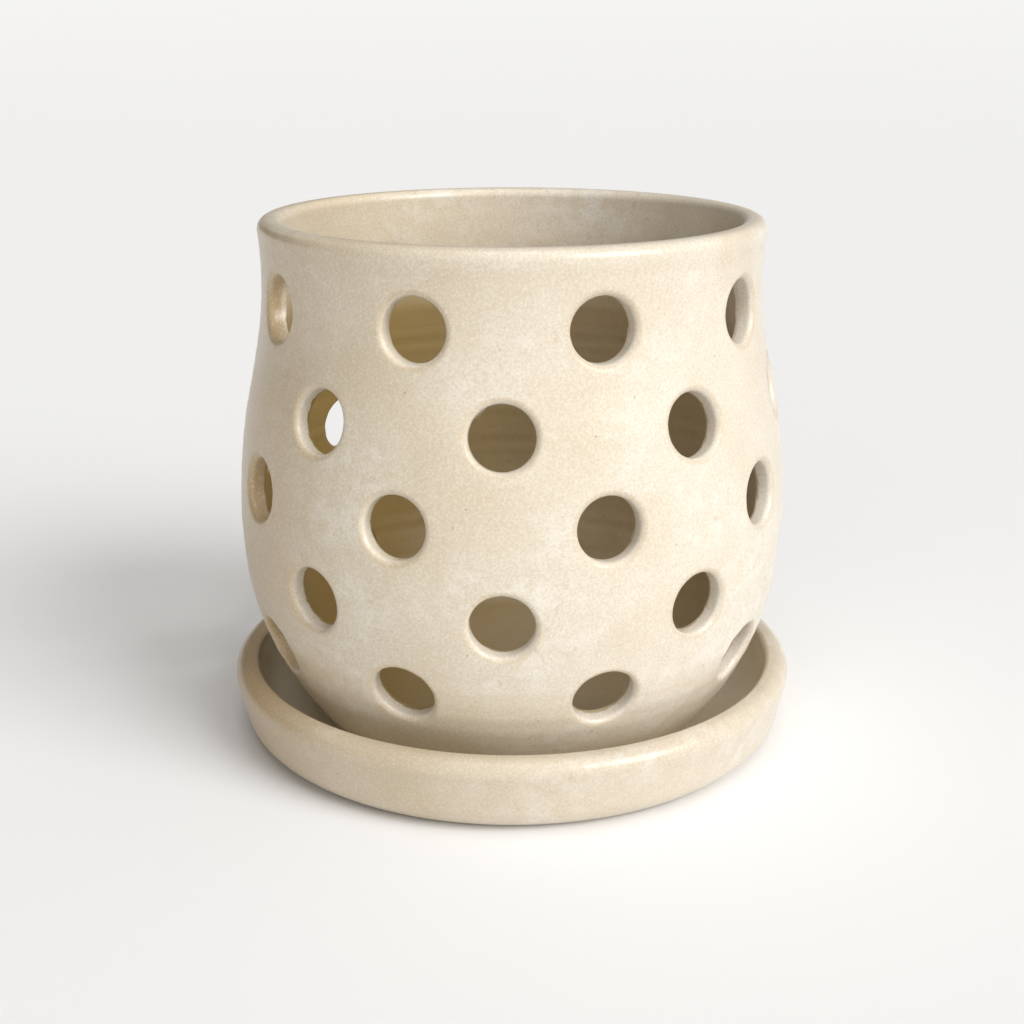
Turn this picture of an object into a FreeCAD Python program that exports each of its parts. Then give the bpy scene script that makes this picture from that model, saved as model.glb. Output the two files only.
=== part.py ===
import FreeCAD, Part
import math
import os

# Orchid pot with round air holes, standing loose in its own drip saucer.
# Both pieces are thrown on a wheel, so each is one outline turned about the upright Z axis.
# Lengths are millimetres. The origin is the middle of the saucer's underside, and -Y is the front.
# Radii are measured from the axis, and a corner is measured before its edge is rounded.

os.makedirs("parts", exist_ok=True)

# Saucer: a low dish with a thick lip, a rounded heel and a shallow turned foot. It is made to suit
# the pot, so its reach is how far its rim stands out past the pot's belly.
saucer_height = 22.8
saucer_reach = 5.15
saucer_lean = 5.1
saucer_lip_width = 7.7
saucer_bowl_lean = 2.3
saucer_floor = 6.0
saucer_shoulder_rounding = 4.2
saucer_lip_rounding = 1.4
saucer_heel_rounding = 10.0
saucer_cove_rounding = 11.0
saucer_foot_width = 18.9
saucer_foot_depth = 1.5
saucer_foot_bevel = 1.0

# Pot: belly, waist and mouth, with every height measured up from the foot that it stands on. Each
# narrowing is measured inward from the part of the wall that is named before it.
pot_height = 148.7
belly_radius = 80.85
belly_height = 60.0
flank_curve_radius = 91.9
waist_narrowing = 9.05
lip_rise = 14.7
lip_narrowing = 6.3
pot_wall = 5.0
pot_floor = 7.0
lip_outer_rounding = 3.1
lip_inner_rounding = 2.6
pot_heel_rounding = 6.0
pot_cove_rounding = 12.0
foot_width = 12.56
foot_depth = 2.5
foot_bevel = 1.2

# The share of the two arcs above the belly that the shoulder takes. The waist takes the rest.
shoulder_share = 0.6395

# Holes: one round cutter pushed square through the wall, and the outer edge softened
hole_radius = 8.65
hole_edge_softening = 2.2
cutter_overrun = 12.0
drain_radius = 8.6

# Height of each ring of holes above the foot, from the top, as a share of the pot's height
ring_height_shares = (0.8574, 0.6853, 0.5219, 0.3558, 0.1984)

# The rings hold nine holes each and are staggered, but the holes are placed by eye. Azimuths are
# degrees from the front, one row for each ring from the top. The photograph shows the first few of
# each row, and the rest leave its holes as dark and its mouth as plain as they are there.
hole_azimuths = (
    (-60.0, -18.8, 20.5, 60.9, 93.3, 134.5, 175.7, 216.9, 254.0),
    (-40.3, -0.3, 40.5, 80.0, 111.2, 142.3, 186.6, 231.0, 275.3),
    (-60.0, -20.9, 20.1, 61.2, 105.8, 149.9, 194.0, 229.3, 265.8),
    (-40.4, -0.2, 40.2, 80.0, 120.0, 160.0, 200.0, 240.0, 280.0),
    (-60.0, -21.2, 20.9, 60.0, 99.6, 139.2, 184.2, 229.2, 264.7),
)

# How far each hole stands above its ring's height, as a share of the hole's radius
hole_lift_shares = (
    (0.0, 0.02, 0.04, -0.05, 0.0, -0.17, -0.81, -0.46, 0.0),
    (-0.02, 0.04, -0.04, 0.0, 0.0, 0.0, 0.0, 0.0, 0.0),
    (0.0, 0.02, 0.06, -0.05, 0.0, 0.0, 0.0, -0.40, 0.0),
    (0.02, -0.01, 0.0, 0.0, 0.0, 0.0, 0.0, 0.0, 0.0),
    (0.0, 0.0, -0.05, 0.0, 0.0, 0.0, 0.0, 0.0, 0.0),
)

# How near an edge must lie to the corner that it is picked for
edge_nearness = 0.1

V = FreeCAD.Vector
AXIS_FOOT = V(0, 0, 0)
UP = V(0, 0, 1)


def line(start, end):
    """A straight edge in the XZ plane between two (radius, height) points."""
    return Part.LineSegment(V(start[0], 0, start[1]), V(end[0], 0, end[1])).toShape()


def bend(start, middle, end):
    """An arc in the XZ plane through three (radius, height) points."""
    points = [V(radius, 0, height) for radius, height in (start, middle, end)]
    return Part.Arc(*points).toShape()


def turned(edges):
    """The solid that a closed outline sweeps about the axis."""
    return Part.Face(Part.Wire(edges)).revolve(AXIS_FOOT, UP, 360)


def softened(solid, corners):
    """Rounds ring edges. Each corner is (radius, height, rounding) of one ring."""
    for radius, height, rounding in corners:
        rings = [
            edge
            for edge in solid.Edges
            if edge.Curve.TypeId == "Part::GeomCircle"
            and abs(edge.Curve.Radius - radius) < edge_nearness
            and abs(edge.Curve.Center.z - height) < edge_nearness
        ]
        solid = solid.makeFillet(rounding, rings)
    return solid


waist_radius = belly_radius - waist_narrowing
mouth_radius = waist_radius - lip_narrowing

saucer_rim_radius = belly_radius + saucer_reach
saucer_heel_radius = saucer_rim_radius - saucer_lean
saucer_mouth_radius = saucer_rim_radius - saucer_lip_width
saucer_bowl_radius = saucer_mouth_radius - saucer_bowl_lean
saucer_foot_inner_radius = saucer_heel_radius - saucer_foot_width


def make_saucer():
    """The dish: leaning wall, flat lip, bowl with a wide cove, and a foot ring under it."""
    outline = [
        (0, saucer_foot_depth),
        (saucer_foot_inner_radius, saucer_foot_depth),
        (saucer_foot_inner_radius, saucer_foot_bevel),
        (saucer_foot_inner_radius + saucer_foot_bevel, 0),
        (saucer_heel_radius, 0),
        (saucer_rim_radius, saucer_height),
        (saucer_mouth_radius, saucer_height),
        (saucer_bowl_radius, saucer_floor),
        (0, saucer_floor),
    ]
    edges = [line(a, b) for a, b in zip(outline, outline[1:] + outline[:1])]
    corners = [
        (saucer_heel_radius, 0, saucer_heel_rounding),
        (saucer_rim_radius, saucer_height, saucer_shoulder_rounding),
        (saucer_mouth_radius, saucer_height, saucer_lip_rounding),
        (saucer_bowl_radius, saucer_floor, saucer_cove_rounding),
    ]
    return softened(turned(edges), corners)


# The pot's outline, in the saucer's frame: flank and shoulder arcs meet at the belly, where both
# are upright, and the waist arc touches the shoulder arc where the wall turns from full to hollow.
# Two arcs that touch and are upright at both ends turn by twice the angle of the straight line
# between the ends, so their radii together follow from the rise and the narrowing.
foot_level = saucer_floor
pot_top = foot_level + pot_height
belly_level = foot_level + belly_height
waist_level = pot_top - lip_rise
waist_rise = waist_level - belly_level
turn_angle = 2 * math.atan2(belly_radius - waist_radius, waist_rise)
both_curve_radii = waist_rise / math.sin(turn_angle)
shoulder_curve_radius = shoulder_share * both_curve_radii
waist_curve_radius = both_curve_radii - shoulder_curve_radius
flank_centre = (belly_radius - flank_curve_radius, belly_level)
shoulder_centre = (belly_radius - shoulder_curve_radius, belly_level)
waist_centre = (waist_radius + waist_curve_radius, waist_level)


def on_circle(centre, radius, angle):
    """The (radius, height) point of a circle in the XZ plane at an angle above level."""
    return (centre[0] + radius * math.cos(angle), centre[1] + radius * math.sin(angle))


def full_side(centre, radius, level):
    """The point at a level on the outer side of a circle, where the wall is full."""
    return on_circle(centre, radius, math.asin((level - centre[1]) / radius))


def hollow_side(centre, radius, level):
    """The point at a level on the inner side of a circle, where the wall is hollow."""
    return on_circle(centre, radius, math.pi - math.asin((level - centre[1]) / radius))


def flank_and_shoulder(inset, low_level):
    """Wall outline from a low level to the turn above the shoulder, inset from the outside."""
    flank = flank_curve_radius - inset
    shoulder = shoulder_curve_radius - inset
    low = full_side(flank_centre, flank, low_level)
    belly = (belly_radius - inset, belly_level)
    turn = on_circle(shoulder_centre, shoulder, turn_angle)
    below = full_side(flank_centre, flank, (low_level + belly_level) / 2)
    above = on_circle(shoulder_centre, shoulder, turn_angle / 2)
    return low, turn, [bend(low, below, belly), bend(belly, above, turn)]


def make_pot_body():
    """The thrown wall, floor and lip, before any hole is cut."""
    outer_low, outer_turn, outer_edges = flank_and_shoulder(0, foot_level)
    foot_inner_radius = outer_low[0] - foot_width
    outer_lip = hollow_side(waist_centre, waist_curve_radius, pot_top)
    outer_waist = (waist_radius, waist_level)

    # inside, the waist arc leaves the shoulder at the same turn and ends at the mouth, so the
    # wall thickens into the lip
    floor_level = foot_level + pot_floor
    inner_low, inner_turn, inner_edges = flank_and_shoulder(pot_wall, floor_level)
    mouth = (mouth_radius, pot_top)
    across = (mouth[0] - inner_turn[0], mouth[1] - inner_turn[1])
    outward = (math.cos(turn_angle), math.sin(turn_angle))
    spread = across[0] * outward[0] + across[1] * outward[1]
    inner_waist_radius = (across[0] ** 2 + across[1] ** 2) / (2 * spread)
    reach = shoulder_curve_radius - pot_wall + inner_waist_radius
    inner_centre = on_circle(shoulder_centre, reach, turn_angle)
    inner_waist = hollow_side(inner_centre, inner_waist_radius, (inner_turn[1] + pot_top) / 2)

    recess_level = foot_level + foot_depth
    edges = outer_edges + [
        bend(outer_turn, outer_waist, outer_lip),
        line(outer_lip, mouth),
        bend(mouth, inner_waist, inner_turn),
    ]
    edges += list(reversed(inner_edges))
    edges += [
        line(inner_low, (0, floor_level)),
        line((0, floor_level), (0, recess_level)),
        line((0, recess_level), (foot_inner_radius, recess_level)),
        line((foot_inner_radius, recess_level), (foot_inner_radius, foot_level + foot_bevel)),
        line((foot_inner_radius, foot_level + foot_bevel), (foot_inner_radius + foot_bevel, foot_level)),
        line((foot_inner_radius + foot_bevel, foot_level), outer_low),
    ]
    corners = [
        (outer_low[0], foot_level, pot_heel_rounding),
        (outer_lip[0], pot_top, lip_outer_rounding),
        (mouth_radius, pot_top, lip_inner_rounding),
        (inner_low[0], floor_level, pot_cove_rounding),
    ]
    return softened(turned(edges), corners)


def outer_wall(level):
    """Radius of the outside of the wall at a level, and how far its square direction lifts."""
    if level < belly_level:
        centre, radius, side = flank_centre, flank_curve_radius, full_side
    elif level < shoulder_centre[1] + shoulder_curve_radius * math.sin(turn_angle):
        centre, radius, side = shoulder_centre, shoulder_curve_radius, full_side
    else:
        centre, radius, side = waist_centre, waist_curve_radius, hollow_side
    point = side(centre, radius, level)
    lift = math.atan2(point[1] - centre[1], abs(point[0] - centre[0]))
    return point[0], lift if side is full_side else -lift


def hole_cutter(ring, place):
    """A round punch, square to the wall, that flares where it meets the outside."""
    ring_level = foot_level + ring_height_shares[ring] * pot_height
    level = ring_level + hole_lift_shares[ring][place] * hole_radius
    wall_radius, lift = outer_wall(level)

    mouth = hole_radius + hole_edge_softening + cutter_overrun
    outline = [
        (0, -pot_wall - cutter_overrun),
        (hole_radius, -pot_wall - cutter_overrun),
        (hole_radius, -hole_edge_softening),
        (mouth, cutter_overrun),
        (0, cutter_overrun),
    ]
    edges = [line(a, b) for a, b in zip(outline, outline[1:] + outline[:1])]
    punch = turned(edges)
    tilt = FreeCAD.Rotation(V(0, 1, 0), 90 - math.degrees(lift))
    punch.Placement = FreeCAD.Placement(V(wall_radius, 0, level), tilt)
    punch.rotate(AXIS_FOOT, UP, hole_azimuths[ring][place] - 90)
    return punch


def make_pot():
    """The pot: its body, five staggered rings of air holes and a drain hole in the floor."""
    cutters = [
        hole_cutter(ring, place)
        for ring in range(len(ring_height_shares))
        for place in range(len(hole_azimuths[ring]))
    ]
    cutters.append(Part.makeCylinder(drain_radius, foot_level + pot_floor + cutter_overrun))
    return make_pot_body().cut(cutters).Solids[0]


pieces = {"saucer": make_saucer(), "pot": make_pot()}
for name, solid in pieces.items():
    solid.exportStep(f"parts/{name}.step")
    print(name, "valid", solid.isValid(), "solids", len(solid.Solids), "volume", round(solid.Volume))
overlap = pieces["pot"].common(pieces["saucer"]).Volume
print("overlap of pot and saucer", round(overlap, 6))
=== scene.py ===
import math
from functools import partial

import bpy
import numpy as np
from mathutils import Euler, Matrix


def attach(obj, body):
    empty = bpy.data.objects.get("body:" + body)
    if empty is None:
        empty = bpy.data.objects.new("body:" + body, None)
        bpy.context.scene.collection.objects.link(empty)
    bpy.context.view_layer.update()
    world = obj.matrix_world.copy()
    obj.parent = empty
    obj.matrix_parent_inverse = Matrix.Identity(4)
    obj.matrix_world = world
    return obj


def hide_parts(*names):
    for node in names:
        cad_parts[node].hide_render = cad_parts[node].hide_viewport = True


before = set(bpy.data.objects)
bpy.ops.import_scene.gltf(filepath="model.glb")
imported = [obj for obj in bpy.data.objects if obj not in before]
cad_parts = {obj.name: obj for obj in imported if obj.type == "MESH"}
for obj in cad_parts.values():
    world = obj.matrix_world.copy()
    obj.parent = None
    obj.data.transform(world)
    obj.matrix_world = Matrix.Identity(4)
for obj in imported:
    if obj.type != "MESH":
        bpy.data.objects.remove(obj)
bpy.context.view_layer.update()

# %% [markdown]
# A potter throws an orchid pot like this one on a wheel, lets it stiffen, and then pushes a round
# cutter through the wall, row after row, so that air can reach the roots. The saucer is thrown as a
# low dish of the same clay. Both could be modelled with a lathe tool and a boolean, but a boolean
# leaves a sharp, ragged edge where each hole meets the wall. Here both pieces are grids of points
# that follow one closed outline round the axis, and the holes are fitted into the grid, so that the
# soft edge that a damp sponge leaves on each hole is part of the surface.

# %% Sizes, in millimetres until a mesh is made
MM = 0.001

saucer_height = 22.8
saucer_rim = 86.0
saucer_heel = 80.9
saucer_mouth = 78.3
saucer_bowl = 76.0
saucer_floor = 6.0
saucer_recess = 62.0
saucer_underside = 1.5

foot = saucer_floor
pot_top = foot + 148.7
belly = 80.85
belly_level = foot + 60.0
flank_curve = 91.9
shoulder_curve = 196.4
waist = 71.8
waist_level = foot + 134.0
mouth = 65.5
wall = 5.0
lip_fullness = 1.9
pot_floor = foot + 7.0
foot_inner = 46.0
drain = 8.6
underside = foot + 2.5
columns = 300
print("pot", pot_top - foot, "mm high on a saucer", saucer_height, "mm high")

# %% [markdown]
# Both outlines have soft corners, as wet clay has. A closed outline is written as its sharp
# corners, each with a rounding, and every corner is then replaced by an arc that touches both of
# its sides. A bevel on a finished mesh would do the same, but it moves the points that the holes
# and the glaze rely on.


# %% Outline tools
def ramp(value, start, end):
    """Nought at the start, one at the end, and straight between them: the share of the way gone."""
    return np.clip((value - start) / (end - start), 0, 1)


def corner_arc(before, corner, after, rounding, steps=9):
    """Points on the arc that touches both sides of a corner.

    The arc's centre lies on the line that halves the angle of the corner, at the rounding divided
    by the sine of half that angle, and the touching points are the rounding divided by the tangent.
    """
    before, corner, after = (np.asarray(p, float) for p in (before, corner, after))
    a = (before - corner) / np.linalg.norm(before - corner)
    b = (after - corner) / np.linalg.norm(after - corner)
    half = math.acos(np.clip(a @ b, -1, 1)) / 2
    centre = corner + (a + b) / np.linalg.norm(a + b) * rounding / math.sin(half)
    start = corner + a * rounding / math.tan(half) - centre
    end = corner + b * rounding / math.tan(half) - centre
    turn = math.pi - 2 * half
    t = np.linspace(0, 1, steps)[:, None]
    return centre + (np.sin((1 - t) * turn) * start + np.sin(t * turn) * end) / math.sin(turn)


def straight(start, end, step=1.6):
    """Evenly spaced points from start up to, and without, end."""
    start, end = np.asarray(start, float), np.asarray(end, float)
    count = max(2, int(np.linalg.norm(end - start) / step))
    return start + (end - start) * np.linspace(0, 1, count, endpoint=False)[:, None]


def joined(stretches, closest=0.02):
    """One run of points from several, with any point that repeats its neighbour left out."""
    points = np.concatenate(stretches)
    keep = np.linalg.norm(points - np.roll(points, 1, axis=0), axis=1) > closest
    return points[keep]


# %% [markdown]
# The pot's wall is three arcs that run into each other: the flank, the shoulder above the belly,
# and the hollow of the waist that turns the lip outward. The potter draws it up with a finger on
# each side, so the inner face follows the outer one at an even distance, and grows fuller towards
# the lip. A spline through measured points would be as close, but arcs keep the curve calm.

# %% The pot's wall
shoulder_x = belly - shoulder_curve
flank_x = belly - flank_curve
reach = waist - shoulder_x
rise = waist_level - belly_level
waist_curve = (reach**2 + rise**2 - shoulder_curve**2) / (2 * (shoulder_curve - reach))
waist_x = waist + waist_curve
turn_angle = math.atan2(rise, waist_x - shoulder_x)
turn_level = belly_level + shoulder_curve * math.sin(turn_angle)


def wall_radius(level):
    """Outside radius of the wall at a level, from the circle that rules there.

    Each circle gives its middle's distance from the axis, plus or minus the square root of its
    radius squared less the height from its middle squared.
    """
    level = np.asarray(level, float)
    flank = flank_x + np.sqrt(np.maximum(flank_curve**2 - (level - belly_level) ** 2, 0))
    shoulder = shoulder_x + np.sqrt(np.maximum(shoulder_curve**2 - (level - belly_level) ** 2, 0))
    hollow = waist_x - np.sqrt(np.maximum(waist_curve**2 - (level - waist_level) ** 2, 0))
    return np.where(level < belly_level, flank, np.where(level < turn_level, shoulder, hollow))


def outward(level, step=0.05):
    """Unit direction square to the wall at a level, as (radius, height)."""
    slope = (wall_radius(level + step) - wall_radius(level - step)) / (2 * step)
    length = np.sqrt(1 + slope**2)
    return np.stack([1 / length, -slope / length], axis=-1)


def thickness(level):
    """Wall thickness: even up to the waist, then fuller by the square of the way to the lip."""
    return wall + lip_fullness * ramp(level, turn_level, pot_top) ** 2


wall_low, wall_high = 20.0, 147.5
wall_rows = 86
fine = np.linspace(wall_low, wall_high, 4000)
fine_length = np.concatenate([[0], np.cumsum(np.hypot(np.diff(fine), np.diff(wall_radius(fine))))])
row_length = np.linspace(0, fine_length[-1], wall_rows)
row_level = np.interp(row_length, fine_length, fine)
outer_rows = np.stack([wall_radius(row_level), row_level], axis=-1)
inner_rows = outer_rows - outward(row_level) * thickness(row_level)[:, None]
print("wall rows", wall_rows, "waist arc", round(waist_curve, 1), "turn at", round(turn_level, 1))

# %% [markdown]
# Fingers leave shallow rings in the clay while it turns. On a real pot they are stronger inside,
# where nobody smooths them, and low on the wall. A bump map could show them, but real rings also
# catch the light along the edge of a hole, so they are added to the radius of each row.

# %% Throwing rings
finger_waves = ((1.0, 1.31, 0.0), (0.7, 0.83, 1.1), (0.5, 2.17, 0.4))  # size, pitch and start
ring_fade = 8.0
outside_rings, low_rings, inside_rings = 0.030, 0.045, 0.09
inside_shift = 1.7


def throwing_rings(level, strength):
    """Small swellings that the potter's fingers leave: sine waves of unlike pitch, added up.

    They fade out near both ends of the wall, where the lip and the foot are smoothed.
    """
    from_foot = ramp(level, wall_low, wall_low + ring_fade)
    from_lip = ramp(level, wall_high, wall_high - ring_fade)
    waves = sum(size * np.sin(level * pitch + start) for size, pitch, start in finger_waves)
    return strength * (from_foot * from_lip) * waves


outer_rows[:, 0] += throwing_rings(row_level, outside_rings + low_rings * ramp(row_level, 60, 30))
inner_rows[:, 0] += throwing_rings(row_level + inside_shift, inside_rings)
deepest = np.abs(throwing_rings(fine, inside_rings)).max()
print("deepest ring inside", round(float(deepest), 2), "mm")

# %% [markdown]
# The lip is left thick and round, because a thin one chips. Inside, the wall runs into the floor in
# a wide cove. Under the floor the potter trims a shallow recess, which leaves a foot ring and lets
# the drain hole stand clear of the saucer. The outline goes on from the wall in both directions.

# %% The rest of the pot's outline: lip, floor, drain hole, foot and heel
lip_depth = 4.2
lip_corner = (wall_radius(pot_top), pot_top)
lip_start = (wall_radius(pot_top - lip_depth), pot_top - lip_depth)
mouth_corner = (mouth, pot_top)
throat = (mouth + 0.35, pot_top - 3.4)  # where the lip's inner rounding has ended
inner_top = inner_rows[-1]
lip = joined([
    straight(outer_rows[-1], lip_start)[1:],
    corner_arc(lip_start, lip_corner, mouth_corner, rounding=3.1, steps=10),
    corner_arc(lip_corner, mouth_corner, inner_top, rounding=2.6, steps=8),
    straight(throat, inner_top)[1:],
])

wall_across = wall * 1.12  # the wall leans by the floor, so it is wider there when measured level
cove_corner = (wall_radius(pot_floor) - wall_across, pot_floor)
drain_top, drain_bottom = (drain, pot_floor), (drain, underside)
recess_corner, foot_corner = (foot_inner, underside), (foot_inner, foot)
heel_corner = (wall_radius(foot), foot)
base = joined([
    corner_arc(inner_rows[0], cove_corner, (0, pot_floor), rounding=12.0),
    straight((cove_corner[0] - 9.0, pot_floor), (drain + 2.0, pot_floor), step=4.5)[1:],
    corner_arc((drain + 3, pot_floor), drain_top, drain_bottom, rounding=1.2, steps=6),
    corner_arc(drain_top, drain_bottom, recess_corner, rounding=0.6, steps=5),
    straight((drain + 1.5, underside), (foot_inner - 2.0, underside), step=6.0),
    corner_arc(drain_bottom, recess_corner, foot_corner, rounding=1.0, steps=5),
    corner_arc(recess_corner, foot_corner, heel_corner, rounding=1.1, steps=5),
    straight((foot_inner + 1.6, foot), (heel_corner[0] - 5.0, foot), step=2.4),
    corner_arc(foot_corner, heel_corner, outer_rows[0], rounding=6.0),
])
print("lip points", len(lip), "base points", len(base), "columns", columns)

# %% [markdown]
# The holes stand in five rings of nine, each ring half a step on from the last. They are cut by
# hand, so no two gaps are the same, and each one is placed here one by one. The back isn't
# seen, and its holes are carried on round in the same rhythm.

# %% Where the holes stand
hole_radius = 8.65
outer_softening = 1.9
inner_softening = 0.35
ring_heights = (127.5, 101.9, 77.6, 52.9, 29.5)

# Azimuth of each hole from the front, in degrees, and how far it stands above its ring, as a share
# of the hole's radius. One row for each ring, from the top.
hole_azimuths = (
    (-60.0, -18.8, 20.5, 60.9, 93.3, 134.5, 175.7, 216.9, 254.0),
    (-40.3, -0.3, 40.5, 80.0, 111.2, 142.3, 186.6, 231.0, 275.3),
    (-60.0, -20.9, 20.1, 61.2, 105.8, 149.9, 194.0, 229.3, 265.8),
    (-40.4, -0.2, 40.2, 80.0, 120.0, 160.0, 200.0, 240.0, 280.0),
    (-60.0, -21.2, 20.9, 60.0, 99.6, 139.2, 184.2, 229.2, 264.7),
)
hole_lift_shares = (
    (0.0, 0.02, 0.04, -0.05, 0.0, -0.17, -0.81, -0.46, 0.0),
    (-0.02, 0.04, -0.04, 0.0, 0.0, 0.0, 0.0, 0.0, 0.0),
    (0.0, 0.02, 0.06, -0.05, 0.0, 0.0, 0.0, -0.40, 0.0),
    (0.02, -0.01, 0.0, 0.0, 0.0, 0.0, 0.0, 0.0, 0.0),
    (0.0, 0.0, -0.05, 0.0, 0.0, 0.0, 0.0, 0.0, 0.0),
)
hole_level = np.array([
    foot + height + lift * hole_radius
    for height, lifts in zip(ring_heights, hole_lift_shares)
    for lift in lifts
])
hole_turn = np.radians(np.array(hole_azimuths).ravel())
hole_along = np.interp(hole_level, fine, fine_length)


def hole_frame(n):
    """A hole's middle on the outside of the wall, and its directions outward, sideways and up."""
    square, turn, radius = outward(hole_level[n]), hole_turn[n], wall_radius(hole_level[n])
    middle = np.array([radius * math.sin(turn), -radius * math.cos(turn), hole_level[n]])
    out = np.array([square[0] * math.sin(turn), -square[0] * math.cos(turn), square[1]])
    side = np.array([math.cos(turn), math.sin(turn), 0.0])
    return middle, out, side, np.cross(out, side)


print("holes", len(hole_turn), "of", 2 * hole_radius, "mm")

# %% [markdown]
# The wall is a grid of rows and columns. Where a hole goes, the cells whose middle lies inside the
# hole's soft edge are left out, and the points round the gap are moved on to a true circle with
# even steps between them. The points near by then settle, each to the middle of its four
# neighbours, so that the cells stay even. The inner face of the wall gets the same treatment with
# the same cells left out, which is why one strip of cells can join the two circles as the hole's
# wall.

# %% Cells left out for each hole
column_turn = np.linspace(0, 2 * math.pi, columns, endpoint=False)
turn_grid = np.tile(column_turn, (wall_rows, 1))
radius_grid = np.broadcast_to(outer_rows[:, :1], turn_grid.shape)
border = hole_radius + outer_softening
this_side = 1.0  # radians round the axis, past which a cell can't belong to a hole


def around(turn, centre):
    """Angle from a hole's middle, between minus and plus half a turn."""
    return (turn - centre + math.pi) % (2 * math.pi) - math.pi


cell_turn = turn_grid[:-1] + math.pi / columns
cell_length = (row_length[:-1, None] + row_length[1:, None]) / 2
cell_radius = (radius_grid[:-1] + radius_grid[1:]) / 2
cell_hole = np.full((wall_rows - 1, columns), -1)
for n in range(len(hole_turn)):
    away = around(cell_turn, hole_turn[n])
    gap = np.hypot(cell_radius * np.sin(away), cell_length - hole_along[n])
    cell_hole[(gap < border - 0.1) & (np.abs(away) < this_side)] = n
print("cells left out", int((cell_hole >= 0).sum()), "of", cell_hole.size)

# %% The loop of points round each gap
loops = []
for n in range(len(hole_turn)):
    gone = np.zeros((wall_rows + 1, columns), bool)
    gone[1:-1] = cell_hole == n
    corners = [gone[:-1], gone[1:], np.roll(gone, 1, 1)[:-1], np.roll(gone, 1, 1)[1:]]
    rows, cols = np.nonzero(np.any(corners, axis=0) & ~np.all(corners, axis=0))
    x = radius_grid[rows, cols] * np.sin(around(column_turn[cols], hole_turn[n]))
    y = row_length[rows] - hole_along[n]
    order = np.argsort(np.arctan2(y, x))
    rows, cols = rows[order], cols[order]
    angle = np.arctan2(y, x)[order]
    even = 2 * math.pi * np.arange(len(rows)) / len(rows)
    shift = np.angle(np.mean(np.exp(1j * (angle - even))))
    loops.append((rows, cols, even + shift))
loop_sizes = [len(rows) for rows, _, _ in loops]
print("loops", len(loops), "with", min(loop_sizes), "to", max(loop_sizes), "points")


# %% Fitting the holes into the wall
def settle(along, across, free, rounds=40):
    """Moves the free points to the mean of their four neighbours, over and over."""
    for _ in range(rounds):
        for values in (along, across):
            left, right = np.roll(values, 1, 1)[1:-1], np.roll(values, -1, 1)[1:-1]
            mean = values.copy()
            mean[1:-1] = (values[:-2] + values[2:] + left + right) / 4
            values[free] = mean[free]


def fitted(rows, lengths, loop_radius, settle_reach=7.0, still_rows=2):
    """Wall points, as length up the wall and turn from their column, with every loop on its circle.

    A point at an angle round a hole lies the loop's radius times the angle's sine up the wall. The
    sine of its turn from the hole's middle is the loop's radius times the angle's cosine, divided
    by the wall's radius there.
    """
    along = np.repeat(lengths[:, None], columns, axis=1)
    offset = np.zeros_like(along)
    hold = np.zeros(along.shape, bool)
    near = np.zeros(along.shape, bool)
    centre = np.interp(hole_along, row_length, lengths)
    for n, (i, j, angle) in enumerate(loops):
        along[i, j] = centre[n] + loop_radius * np.sin(angle)
        radius = np.interp(along[i, j], lengths, rows[:, 0])
        turned = hole_turn[n] + np.arcsin(loop_radius * np.cos(angle) / radius)
        offset[i, j] = around(turned, column_turn[j])
        hold[i, j] = True
        away = around(turn_grid, hole_turn[n])
        gap = np.hypot(rows[:, :1] * np.sin(away), lengths[:, None] - centre[n])
        near |= (gap < border + settle_reach) & (np.abs(away) < this_side)
    near[:still_rows] = False
    near[-still_rows:] = False
    settle(along, offset, near & ~hold)
    return along, offset


def at(rows, lengths, along, turn):
    """Points in space for lengths up a wall and turns round the axis."""
    radius = np.interp(along, lengths, rows[:, 0])
    level = np.interp(along, lengths, rows[:, 1])
    return np.stack([radius * np.sin(turn), -radius * np.cos(turn), level], axis=-1)


inner_steps = np.linalg.norm(np.diff(inner_rows, axis=0), axis=1)
inner_length = np.concatenate([[0], np.cumsum(inner_steps)])
outer_along, outer_offset = fitted(outer_rows, row_length, border)
inner_along, inner_offset = fitted(inner_rows, inner_length, hole_radius + inner_softening)
outer_points = at(outer_rows, row_length, outer_along, turn_grid + outer_offset)
inner_points = at(inner_rows, inner_length, inner_along, turn_grid + inner_offset)
print("points moved on the outside", int((outer_offset != 0).sum()))


# %% The whole pot as one closed grid
def ring_grid(outline):
    """An outline of (radius, height) points turned about the axis, as rows of points."""
    radius, level = outline[:, :1], outline[:, 1:]
    return np.stack([
        radius * np.sin(column_turn), -radius * np.cos(column_turn), level + 0 * column_turn
    ], axis=-1)


grid = np.concatenate([outer_points, ring_grid(lip), inner_points[::-1], ring_grid(base)])
total_rows = len(grid)
index = np.arange(total_rows * columns).reshape(total_rows, columns)
above = np.roll(index, -1, axis=0)
cells = np.stack([index, np.roll(index, -1, 1), np.roll(above, -1, 1), above], axis=-1)
keep = np.ones((total_rows, columns), bool)
inner_first = wall_rows + len(lip)
keep[: wall_rows - 1] = cell_hole < 0
keep[inner_first : inner_first + wall_rows - 1] = (cell_hole < 0)[::-1]
print("grid", total_rows, "by", columns, "with", int(keep.sum()), "cells")

# %% [markdown]
# A cutter leaves a straight bore, and the sponge rounds its two ends, the outer one more because it
# is seen and touched. The bore takes a paler colour, partly pooled glaze and partly painted light,
# which ends short of the inner face, where painted shade draws a dark line along the inner edge.
# The rows of points there are set close, so that a material can change between them without a
# blurred edge.

# %% The bore of each hole
# The last part of each bore, short of the inner face, takes painted shade.
dark_end = 0.6
dark_step = 0.25
bend = np.linspace(0, math.pi / 2, 7)[1:]
inner_bend = bend[::-2]


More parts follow.
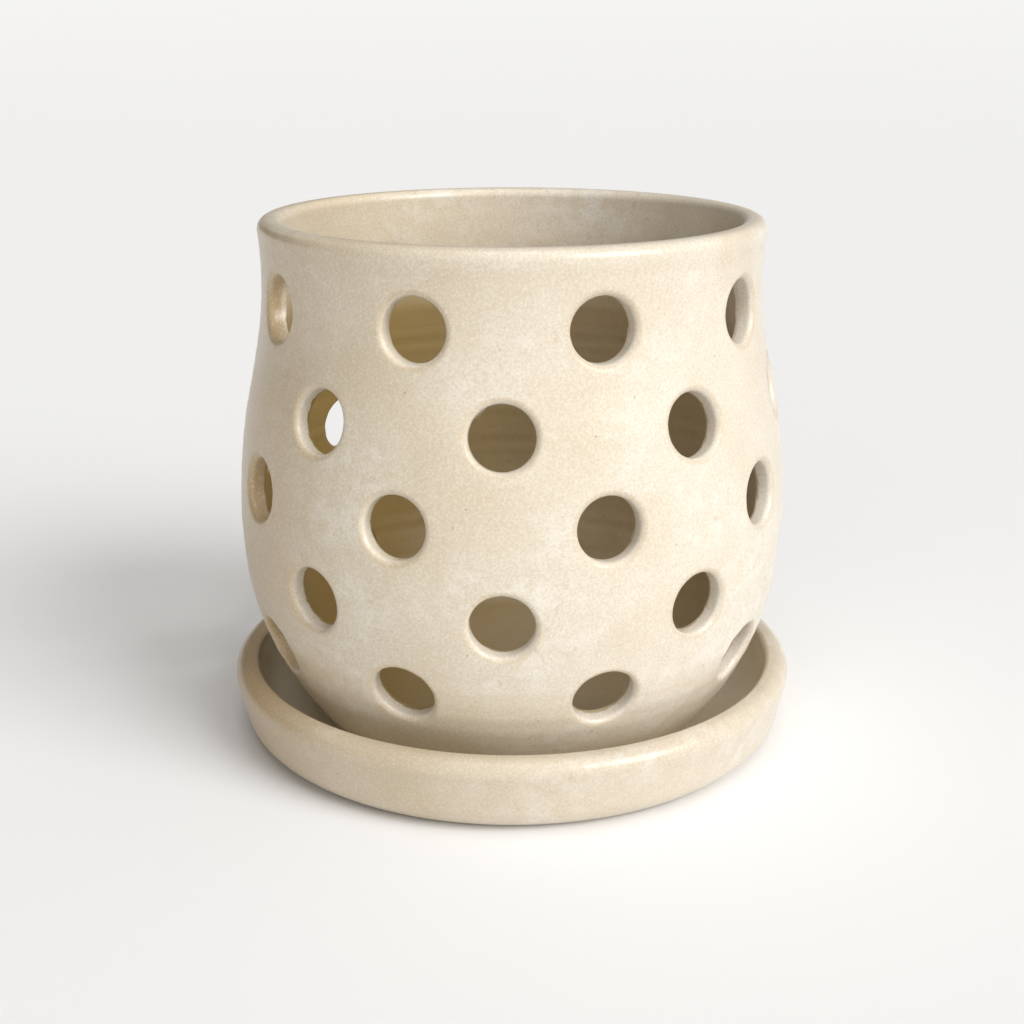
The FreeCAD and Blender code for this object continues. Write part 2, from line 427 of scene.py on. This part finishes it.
def hole_wall(n):
    """Points down one hole, from the outer circle to the inner one, without the two ends.

    Beside the hole's own axis a point has a distance and a depth. The soft outer edge is a quarter
    circle that starts flat with the wall and ends along the hole, and the inner edge is the same,
    but smaller. The wall bends away from the hole's middle by the square of the distance.
    """
    i, j, angle = loops[n]
    middle, out, side, up = hole_frame(n)
    outer_drop = (outer_points[i, j] - middle) @ out
    inner_drop = (inner_points[i, j] - middle) @ out
    far = hole_radius + outer_softening * (1 - np.sin(bend))
    depth = outer_softening * (1 - np.cos(bend))
    far_in = hole_radius + inner_softening * (1 - np.sin(inner_bend))
    depth_in = inner_softening * (1 - np.cos(inner_bend))
    drop = outer_drop * (far[:, None] / border) ** 2 - depth[:, None]
    drop_in = inner_drop + depth_in[:, None]
    halfway = (drop[-1:] + drop_in[:1]) / 2
    dark_start = drop_in[:1] + dark_end
    drops = np.concatenate([drop, halfway, dark_start + dark_step, dark_start, drop_in])
    reach_out = np.concatenate([far, [hole_radius] * 3, far_in])
    ring = np.cos(angle)[:, None] * side + np.sin(angle)[:, None] * up
    return middle + reach_out[:, None, None] * ring + drops[..., None] * out


faces = [cells[keep]]
points = [grid.reshape(-1, 3)]
count = total_rows * columns
for n, (i, j, _) in enumerate(loops):
    strip = hole_wall(n)
    ids = count + np.arange(strip.shape[0] * strip.shape[1]).reshape(strip.shape[:2])
    inner_ids = index[inner_first + wall_rows - 1 - i, j]
    ladder = np.concatenate([index[i, j][None], ids, inner_ids[None]])
    after = np.roll(ladder, -1, axis=1)
    faces.append(np.stack([ladder[:-1], after[:-1], after[1:], ladder[1:]], axis=-1).reshape(-1, 4))
    points.append(strip.reshape(-1, 3))
    count += ids.size
pot_points = np.concatenate(points)
pot_faces = np.concatenate(faces)
print("pot faces", len(pot_faces))

# %% [markdown]
# A finished piece is a mesh and an object. The object stays at the origin, because its place is in
# its points. It rides on the body of the same name and takes the place of the plain CAD solid. Both
# pieces go through one builder, so that neither is smoothed or tied in another way.


# %% Mesh builder
def make_piece(name, points, quads, body, node, fans=np.zeros((0, 3), int)):
    """A smooth mesh from points in millimetres, four-sided faces and the triangles round any pole.

    Points that no face uses are left out.
    """
    used, inverse = np.unique(np.concatenate([quads.ravel(), fans.ravel()]), return_inverse=True)
    fours, threes = np.split(inverse, [quads.size])
    faces = fours.reshape(-1, 4).tolist() + threes.reshape(-1, 3).tolist()
    points = points[used] * MM
    mesh = bpy.data.meshes.new(name)
    mesh.from_pydata(points.tolist(), [], faces)
    mesh.polygons.foreach_set("use_smooth", np.ones(len(faces), bool))
    mesh.update()
    thing = bpy.data.objects.new(name, mesh)
    bpy.context.scene.collection.objects.link(thing)
    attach(thing, body)
    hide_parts(node)
    print(name, "points", len(points), "triangles", 2 * len(quads) + len(fans))
    return thing, used


def add_mask(thing, name, values):
    """Stores one number for each point, which a material reads by name."""
    layer = thing.data.attributes.new(name, "FLOAT", "POINT")
    layer.data.foreach_set("value", np.asarray(values, np.float32))


pot, pot_used = make_piece("pot_shell", pot_points, pot_faces, "pot", "pot")

# %% [markdown]
# The saucer is a low dish with a thick, flat lip and a wide cove inside, so that spilt water is
# easily wiped out. A shallow recess under it leaves a broad ring to stand on, and that keeps it
# from rocking. It is one outline again, from the middle of the underside out, up and back in to the
# middle of the floor. Each straight stretch stops a little short of the corners beside it, where
# their arcs begin. A fan of triangles closes the surface at each middle, because a grid alone would
# leave a pinhole there.

# %% The saucer
heel_edge, rim_edge = (saucer_heel, 0), (saucer_rim, saucer_height)
mouth_edge, bowl_edge = (saucer_mouth, saucer_height), (saucer_bowl, saucer_floor)
recess_edge, ring_edge = (saucer_recess, saucer_underside), (saucer_recess, 0)
saucer_under = joined([
    straight((4.0, saucer_underside), (60.6, saucer_underside), step=4.0),
    corner_arc((0, saucer_underside), recess_edge, ring_edge, rounding=0.6, steps=4),
    corner_arc(recess_edge, ring_edge, heel_edge, rounding=0.7, steps=4),
    straight((63.0, 0), (69.8, 0), step=2.0),
])
saucer_top = joined([
    corner_arc((0, 0), heel_edge, rim_edge, rounding=10.0, steps=16),
    straight((82.9, 9.0), (84.6, 16.8), step=1.5),
    corner_arc(heel_edge, rim_edge, mouth_edge, rounding=4.2, steps=14),
    corner_arc(rim_edge, mouth_edge, bowl_edge, rounding=1.6, steps=8),
    straight((78.0, 20.4), (77.6, 17.5), step=1.5),
    corner_arc(mouth_edge, bowl_edge, (0, saucer_floor), rounding=11.0, steps=16),
    straight((64.0, saucer_floor), (2.0, saucer_floor), step=3.2),
])
saucer_grid = ring_grid(np.concatenate([saucer_under, saucer_top]))
saucer_index = np.arange(saucer_grid[..., 0].size).reshape(-1, columns)
lower, upper = saucer_index[:-1], saucer_index[1:]
saucer_cells = np.stack([lower, np.roll(lower, -1, 1), np.roll(upper, -1, 1), upper], axis=-1)
floor_pole, under_pole = saucer_index.size, saucer_index.size + 1
inner_ring, under_ring = saucer_index[-1], saucer_index[0]
saucer_fans = np.concatenate([
    np.stack([inner_ring, np.roll(inner_ring, -1), np.full(columns, floor_pole)], axis=-1),
    np.stack([np.full(columns, under_pole), np.roll(under_ring, -1), under_ring], axis=-1),
])
poles = [[0, 0, saucer_floor], [0, 0, saucer_underside]]
saucer_points = np.concatenate([saucer_grid.reshape(-1, 3), poles])
saucer, saucer_used = make_piece(
    "saucer_shell", saucer_points, saucer_cells.reshape(-1, 4), "saucer", "saucer", saucer_fans
)

# %% [markdown]
# The glaze is a cream that breaks to tan wherever it runs thin: on the lip, on the soft edge of
# every hole and low on the walls. Fine grains of iron speckle it, and a few bubbles have burst and
# left pits. How thin the glaze lies is stored on the points, because the potter's sponge and the
# pull of the melted glaze decide it, and both follow the shape. Painted shade and painted light are
# stored there too. A painted picture would need the surface unrolled, and these numbers don't.


# %% Distance to the holes
def nearness(distance, width):
    """One at no distance, and e to the minus square of distance over width farther away."""
    return np.exp(-((distance / width) ** 2))


pot_xyz = pot_points[pot_used]
pot_radius = np.hypot(pot_xyz[:, 0], pot_xyz[:, 1])
pot_level = pot_xyz[:, 2]
radius_at = wall_radius(pot_level)
on_outside = pot_radius > radius_at - 1.0

bore_reach = 9.0  # a point of a bore lies no deeper than this from the hole's middle
bore_margin = 0.4  # and at most this far outside the hole's radius
# Where the pale colour stops, the bore takes the painted shade of the inside.
pale_stop = 0.8  # the pale glaze ends this far short of the inner face
pale_part = pot_radius - radius_at > pale_stop - wall
edge_gap = np.full(len(pot_xyz), 99.0)
in_bore = np.zeros(len(pot_xyz))
for n in range(len(hole_turn)):
    middle, out, _, _ = hole_frame(n)
    away = pot_xyz - middle
    depth = away @ out
    far = np.linalg.norm(away - depth[:, None] * out, axis=1)
    local = np.abs(depth) < bore_reach
    edge_gap = np.where(local, np.minimum(edge_gap, np.abs(far - hole_radius)), edge_gap)
    in_bore = np.where(local & pale_part & (far < hole_radius + bore_margin), 1.0, in_bore)
print("points in the bores", int(in_bore.sum()))

# %% Masks of the pot
edge_middle = 1.2  # from a bore's side out to the middle of the soft edge
lip_edge = 70.5
band_level = pot_top - 6.5
at_hole = 0.8 * nearness(edge_gap - edge_middle, width=0.9)
at_lip = 0.45 * nearness(np.hypot(pot_radius - lip_edge, pot_level - pot_top), width=2.0)
at_foot = 0.75 * ramp(pot_level, start=24, end=8) ** 1.5
# under_lip: a darker tan band on the outside just under the lip
under_lip = 0.5 * nearness(pot_level - band_level, width=3.2) * on_outside
thin = np.max([at_hole, at_lip, at_foot, under_lip], axis=0)

# Painted shade inside the pot: faint from the mouth down, full below the waist, and on the last
# part of each bore.
within = pot_radius < radius_at - 2.0
below_mouth = ramp(pot_level, start=150, end=136)
below_waist = ramp(pot_level, start=130, end=116)
painted_shade_depth = 0.05 * below_mouth + 0.95 * below_waist
left_shade_start, left_shade_full = -42, -72  # along X: painted shade on the left, the side turned from the key lamp
wall_painted_shade = ramp(pot_xyz[:, 0], left_shade_start, left_shade_full) * on_outside
# painted shade also on the bores of the leftmost holes, in place of their pale colour
bore_painted_shade = ramp(pot_xyz[:, 0], start=-57, end=-63) * in_bore
add_mask(pot, "thin", thin)
add_mask(pot, "bore", in_bore)
add_mask(pot, "inside", within * painted_shade_depth * (in_bore < 0.5))
add_mask(pot, "painted_shade_left", np.maximum(wall_painted_shade, bore_painted_shade))
print("thin glaze on", int((thin > 0.5).sum()), "points of the pot")

# %% Masks of the saucer
saucer_xyz = saucer_points[saucer_used]
saucer_level = saucer_xyz[:, 2]
saucer_radius = np.hypot(saucer_xyz[:, 0], saucer_xyz[:, 1])
rim_middle, mouth_middle = 85.2, 78.2  # where the two edges of the lip are roundest
below_lip = saucer_level - saucer_height
at_rim = 0.8 * nearness(np.hypot(saucer_radius - rim_middle, below_lip), width=2.0)
at_mouth = 0.7 * nearness(np.hypot(saucer_radius - mouth_middle, below_lip), width=1.6)
at_heel = 0.5 * (ramp(saucer_level, start=7, end=0) * (saucer_radius > 70))
# The bowl takes painted light: its inside colour is lighter than the rest of the saucer.
in_bowl = (saucer_radius < 78) & (saucer_level > 4)
on_wall = saucer_radius > 78.5
add_mask(saucer, "thin", np.max([at_rim, at_mouth, at_heel], axis=0))
add_mask(saucer, "bore", np.zeros(len(saucer_xyz)))
add_mask(saucer, "inside", in_bowl)
# painted shade on the left side of the saucer's outer wall
add_mask(saucer, "painted_shade_left", ramp(saucer_xyz[:, 0], left_shade_start, left_shade_full) * on_wall)
print("points in the saucer's bowl", int(in_bowl.sum()))

# %% [markdown]
# A finish is a tree of nodes: a texture gives a value at each place, arithmetic shapes it, and a
# mix turns it into colour. Trees can be drawn by hand in the shader editor. Written out like this
# they can be read from top to bottom, and each effect is one line.


# %% Node helpers
def feed(tree, socket, value):
    """Links a socket to another node's socket, or else sets it to a plain value."""
    if isinstance(value, bpy.types.NodeSocket):
        tree.links.new(value, socket)
    else:
        socket.default_value = value


def add(tree, kind, **inputs):
    """A node with its inputs fed by name, or by number where the name is an i and a number."""
    node = tree.nodes.new(kind)
    for key, value in inputs.items():
        numbered = key[0] == "i" and key[1:].isdigit()
        feed(tree, node.inputs[int(key[1:]) if numbered else key.replace("_", " ")], value)
    return node


def math_node(tree, operation, a, b=0.0):
    """One arithmetic node and its result."""
    node = add(tree, "ShaderNodeMath", i0=a, i1=b)
    node.operation = operation
    return node.outputs[0]


def mix_colour(tree, factor, a, b):
    """Colour a where the factor is nought and colour b where it is one."""
    node = tree.nodes.new("ShaderNodeMix")
    node.data_type = "RGBA"
    for number, value in ((0, factor), (6, a), (7, b)):
        feed(tree, node.inputs[number], value)
    return node.outputs[2]


def between(tree, value, low, high, to_low=0.0, to_high=1.0):
    """The value taken from one range to another with a smooth start and end."""
    node = add(
        tree, "ShaderNodeMapRange",
        Value=value, From_Min=low, From_Max=high, To_Min=to_low, To_Max=to_high,
    )
    node.interpolation_type = "SMOOTHSTEP"
    return node.outputs[0]


def noise(tree, vector, scale, detail=3.0, rough=0.5):
    """Smooth noise at a scale in lumps for each metre."""
    return add(
        tree, "ShaderNodeTexNoise", Vector=vector, Scale=scale, Detail=detail, Roughness=rough
    ).outputs[0]


def new_group(name, inputs, outputs):
    """An empty shader node group with named inputs and outputs."""
    tree = bpy.data.node_groups.new(name, "ShaderNodeTree")
    for kind, label in inputs:
        tree.interface.new_socket(label, in_out="INPUT", socket_type=kind)
    for kind, label in outputs:
        tree.interface.new_socket(label, in_out="OUTPUT", socket_type=kind)
    return tree, tree.nodes.new("NodeGroupInput"), tree.nodes.new("NodeGroupOutput")


# %% [markdown]
# A cream glaze isn't one colour. Where it lies thick it is nearly white, in soft clouds, and where
# it thins the clay shows through. This group gives the colour, the roughness and the height of the
# glaze from a place and four masks: thin, bore, inside, and a fourth of painted shade on the left
# side. It also paints shade inside the pot, light inside the saucer's bowl, and light towards +X.

# %% Glaze colour group
iron_brown = (0.10, 0.055, 0.025, 1)
pit_brown = (0.11, 0.075, 0.04, 1)


def glaze_colour():
    """Colour, roughness and height of a cream glaze over buff clay."""
    vector, number, tint = "NodeSocketVector", "NodeSocketFloat", "NodeSocketColor"
    mask_names = ("Thin", "Bore", "Inside", "Painted_shade_left")
    colour_names = ("Cream", "Pale", "Tan", "Painted_shading")
    tree, given, result = new_group(
        "Cream glaze",
        [(vector, "Place")]
        + [(number, label) for label in mask_names]
        + [(tint, label) for label in colour_names],
        [(tint, "Colour"), (number, "Roughness"), (number, "Height")],
    )
    operations = ("ADD", "SUBTRACT", "MULTIPLY", "MAXIMUM")
    plus, minus, times, larger = (partial(math_node, tree, name) for name in operations)
    mixed, smooth, lumps = (partial(helper, tree) for helper in (mix_colour, between, noise))
    place = given.outputs["Place"]
    thin_glaze, bore, inside, painted_shade_left = (given.outputs[label] for label in mask_names)
    cream, pale, tan, painted_shading = (given.outputs[label] for label in colour_names)

    # unevenness, from clouds some 40 mm wide down to grains of sand under 1 mm
    clouds = lumps(place, 26.0, 4.0, 0.55)
    patches = lumps(place, 170.0, 5.0, 0.62)
    peel = lumps(place, 330.0, 2.0, 0.5)
    freckles = lumps(place, 420.0, 3.0, 0.6)
    grain = lumps(place, 900.0, 3.0, 0.6)
    sand = lumps(place, 1500.0, 2.0, 0.7)
    painted_light_side = smooth(add(tree, "ShaderNodeSeparateXYZ", Vector=place).outputs["X"], -0.065, 0.05)

    # thick glaze: pale clouds, and painted light: paler towards +X, the side the key lamp lights
    mottle = times(smooth(clouds, 0.42, 0.64), smooth(patches, 0.40, 0.66))
    colour = mixed(plus(times(mottle, 0.45), times(painted_light_side, 0.36)), cream, pale)

    # thin glaze: tan between the clouds and, with a ragged border, at edges; painted shade in tan
    # on the left side
    warm = larger(times(smooth(clouds, 0.52, 0.30), 0.20), times(painted_shade_left, 0.90))
    colour = mixed(warm, colour, tan)
    broken = smooth(plus(thin_glaze, times(minus(patches, 0.5), 0.6)), 0.25, 0.95)
    colour = mixed(times(broken, 0.34), colour, tan)

    # glaze that has pooled in a bore, and painted light on bore walls turned from the lamps; none
    # on the left side, which has painted shade
    colour = mixed(times(larger(minus(bore, painted_shade_left), 0.0), 0.30), colour, pale)

    # sand in the clay, dark and light, and freckles in the thick clouds
    colour = mixed(smooth(sand, 0.42, 0.70, 0.0, 0.26), colour, tan)
    colour = mixed(smooth(sand, 0.50, 0.30, 0.0, 0.30), colour, pale)
    freckled = times(smooth(freckles, 0.60, 0.72), smooth(clouds, 0.40, 0.60))
    colour = mixed(times(freckled, 0.34), colour, tan)

    # painted shading inside: shade in the pot, lighter towards +X, and light in the saucer's bowl
    colour = mixed(times(inside, minus(0.98, times(painted_light_side, 0.42))), colour, painted_shading)

    # iron specks: the few cells of a fine cell pattern whose own random number is high
    cells = add(tree, "ShaderNodeTexVoronoi", Vector=place, Scale=330.0)
    chosen = smooth(times(cells.outputs["Color"], 1.0), 0.86, 0.87)
    speck = times(chosen, smooth(cells.outputs["Distance"], 0.16, 0.08))
    colour = mixed(times(speck, 0.32), colour, iron_brown)

    # burst bubbles: rarer and wider cells, with a pit in the middle
    bubbles = add(tree, "ShaderNodeTexVoronoi", Vector=place, Scale=75.0)
    rare = smooth(times(bubbles.outputs["Color"], 1.0), 0.90, 0.91)
    pit = times(rare, smooth(bubbles.outputs["Distance"], 0.075, 0.03))
    colour = mixed(times(pit, 0.6), colour, pit_brown)

    height = minus(plus(times(peel, 0.35), times(sand, 0.22)), times(pit, 0.8))
    rough = plus(plus(0.33, times(minus(grain, 0.5), 0.15)), times(broken, 0.10))
    for label, value in (("Colour", colour), ("Roughness", rough), ("Height", height)):
        tree.links.new(value, result.inputs[label])
    return tree


glaze_tree = glaze_colour()
print("glaze nodes", len(glaze_tree.nodes))

# %% [markdown]
# Fired glaze is glass over clay, so the material is a dull body with a thin, clear coat. The bump
# is as shallow as the skin of an orange, and takes its height from the same group. The two pieces
# share the group, and the saucer's colours are a little deeper, as they look in the photograph.


# %% Glaze material
def glaze_material(name, cream, pale, tan, painted_shading):
    """A glazed surface that reads the four masks stored on the points."""
    material = bpy.data.materials.new(name)
    material.use_nodes = True
    tree = material.node_tree
    shader = tree.nodes["Principled BSDF"]
    group = tree.nodes.new("ShaderNodeGroup")
    group.node_tree = glaze_tree
    place = tree.nodes.new("ShaderNodeTexCoord").outputs["Object"]
    tree.links.new(place, group.inputs["Place"])
    for label in ("thin", "bore", "inside", "painted_shade_left"):
        mask = tree.nodes.new("ShaderNodeAttribute")
        mask.attribute_name = label
        tree.links.new(mask.outputs["Fac"], group.inputs[label.capitalize()])
    for label, colour in (("Cream", cream), ("Pale", pale), ("Tan", tan), ("Painted_shading", painted_shading)):
        group.inputs[label].default_value = (*colour, 1)
    relief = group.outputs["Height"]
    bump = add(tree, "ShaderNodeBump", Strength=0.35, Distance=0.0006, Height=relief)
    tree.links.new(group.outputs["Colour"], shader.inputs["Base Color"])
    tree.links.new(group.outputs["Roughness"], shader.inputs["Roughness"])
    tree.links.new(bump.outputs["Normal"], shader.inputs["Normal"])
    shader.inputs["Coat Weight"].default_value = 0.35
    shader.inputs["Coat Roughness"].default_value = 0.22
    shader.inputs["IOR"].default_value = 1.5
    return material


pot_glaze = glaze_material(
    "pot_glaze",
    cream=(0.69, 0.605, 0.465),
    pale=(0.86, 0.82, 0.75),
    tan=(0.50, 0.365, 0.195),
    # painted shade: the inside of the pot is darkened to this colour
    painted_shading=(0.335, 0.225, 0.066),
)
saucer_glaze = glaze_material(
    "saucer_glaze",
    cream=(0.60, 0.51, 0.375),
    pale=(0.76, 0.71, 0.63),
    tan=(0.48, 0.34, 0.18),
    # painted light: the saucer's bowl is lightened to this colour
    painted_shading=(0.80, 0.72, 0.56),
)
pot.data.materials.append(pot_glaze)
saucer.data.materials.append(saucer_glaze)
for node_name, glaze in (("pot", pot_glaze), ("saucer", saucer_glaze)):
    node_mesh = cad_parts[node_name].data
    node_mesh.materials.clear()
    node_mesh.materials.append(glaze)
    print("material", glaze.name, "on", node_name)

# %% [markdown]
# The photograph was taken on a white sheet of studio paper under soft light. A plain plane would
# show a horizon, and a box would show corners, so the sheet rises slowly far behind the pot.


# %% Floor
def sweep():
    """A floor that rises a little far behind, as a sheet of studio paper does.

    Its height is nothing up to two metres behind the pot and then grows by the square of the
    distance, so that no horizon shows.
    """
    level_until, growth = 2.0, 0.006
    across = np.linspace(-12, 12, 25)
    back = np.concatenate([np.linspace(-8, level_until, 21), np.linspace(2.4, 14, 30)])
    x, y = np.meshgrid(across, back)
    z = growth * np.maximum(y - level_until, 0) ** 2
    ids = np.arange(x.size).reshape(x.shape)
    quads = np.stack([ids[:-1, :-1], ids[:-1, 1:], ids[1:, 1:], ids[1:, :-1]], axis=-1)
    quads = quads.reshape(-1, 4)
    mesh = bpy.data.meshes.new("sweep")
    mesh.from_pydata(np.stack([x, y, z], axis=-1).reshape(-1, 3).tolist(), [], quads.tolist())
    mesh.polygons.foreach_set("use_smooth", np.ones(len(quads), bool))
    paper = bpy.data.materials.new("paper")
    paper.use_nodes = True
    tree = paper.node_tree
    shader = tree.nodes["Principled BSDF"]
    fibres = noise(tree, tree.nodes.new("ShaderNodeTexCoord").outputs["Object"], 3.0)
    tone = mix_colour(tree, fibres, (0.905, 0.915, 0.933, 1), (0.915, 0.925, 0.943, 1))
    tree.links.new(tone, shader.inputs["Base Color"])
    shader.inputs["Roughness"].default_value = 0.95
    shader.inputs["Specular IOR Level"].default_value = 0.0
    mesh.materials.append(paper)
    thing = bpy.data.objects.new("sweep", mesh)
    bpy.context.scene.collection.objects.link(thing)
    return thing


floor = sweep()
print("floor faces", len(floor.data.polygons))

# %% [markdown]
# The main light stands in front, to the right and above, and leaves a wide pale shadow to the left.
# A weaker one from above fills the floor, and one from the front opens the shade on the wall. Suns
# with a wide angle give the soft shadows of large lamps, and light the far floor evenly. The room's
# own light is warm and comes mostly from the right.

# %% Lights
lamp_distance = 3.0
lamp_aim = 0.07


def lamp(name, azimuth, elevation, **settings):
    """A sun that faces the pot's middle. Azimuth is in degrees from the front towards +X."""
    data = bpy.data.lights.new(name, "SUN")
    for key, value in settings.items():
        setattr(data, key, value)
    thing = bpy.data.objects.new(name, data)
    bpy.context.scene.collection.objects.link(thing)
    a, e = math.radians(azimuth), math.radians(elevation)
    ground = lamp_distance * math.cos(e)
    height = lamp_aim + lamp_distance * math.sin(e)
    thing.location = (ground * math.sin(a), -ground * math.cos(a), height)
    thing.rotation_euler = Euler((math.pi / 2 - e, 0, a))
    print("lamp", name, "energy", settings["energy"])


nearly_white = (1.0, 0.995, 0.985)
lamp("key", azimuth=52, elevation=33, energy=2.13, angle=math.radians(36), color=nearly_white)
lamp("top", azimuth=12, elevation=74, energy=0.72, angle=math.radians(40))
lamp("front", azimuth=-6, elevation=26, energy=0.66, angle=math.radians(60))

world = bpy.data.worlds.new("studio")
bpy.context.scene.world = world
world.use_nodes = True
tree = world.node_tree
background = tree.nodes["Background"]
background.inputs["Color"].default_value = (1.0, 0.94, 0.84, 1)
direction = tree.nodes.new("ShaderNodeTexCoord").outputs["Generated"]
rightness = add(tree, "ShaderNodeSeparateXYZ", Vector=direction).outputs["X"]
left_strength, right_strength = 0.05, 0.50
strength = between(tree, rightness, -0.9, 0.9, left_strength, right_strength)
tree.links.new(strength, background.inputs["Strength"])
bpy.context.scene.view_settings.view_transform = "Standard"

# %% [markdown]
# The camera stood close, a little above the rim and a little to the right of the middle. Its place
# was worked out from how the rims and the rows of holes shrink with distance.

# %% Camera
camera_distance = 0.450
camera_height = 0.2088
camera_tilt = 17.75
camera_turn = math.radians(1.65)
camera_data = bpy.data.cameras.new("camera")
camera_data.sensor_width = 36.0
camera_data.lens = 54.63
camera = bpy.data.objects.new("camera", camera_data)
bpy.context.scene.collection.objects.link(camera)
camera.location = (
    camera_distance * math.sin(camera_turn), -camera_distance * math.cos(camera_turn), camera_height
)
camera.rotation_euler = Euler((math.radians(90 - camera_tilt), 0, camera_turn))
bpy.context.scene.camera = camera
print("camera", [round(v, 4) for v in camera.location])
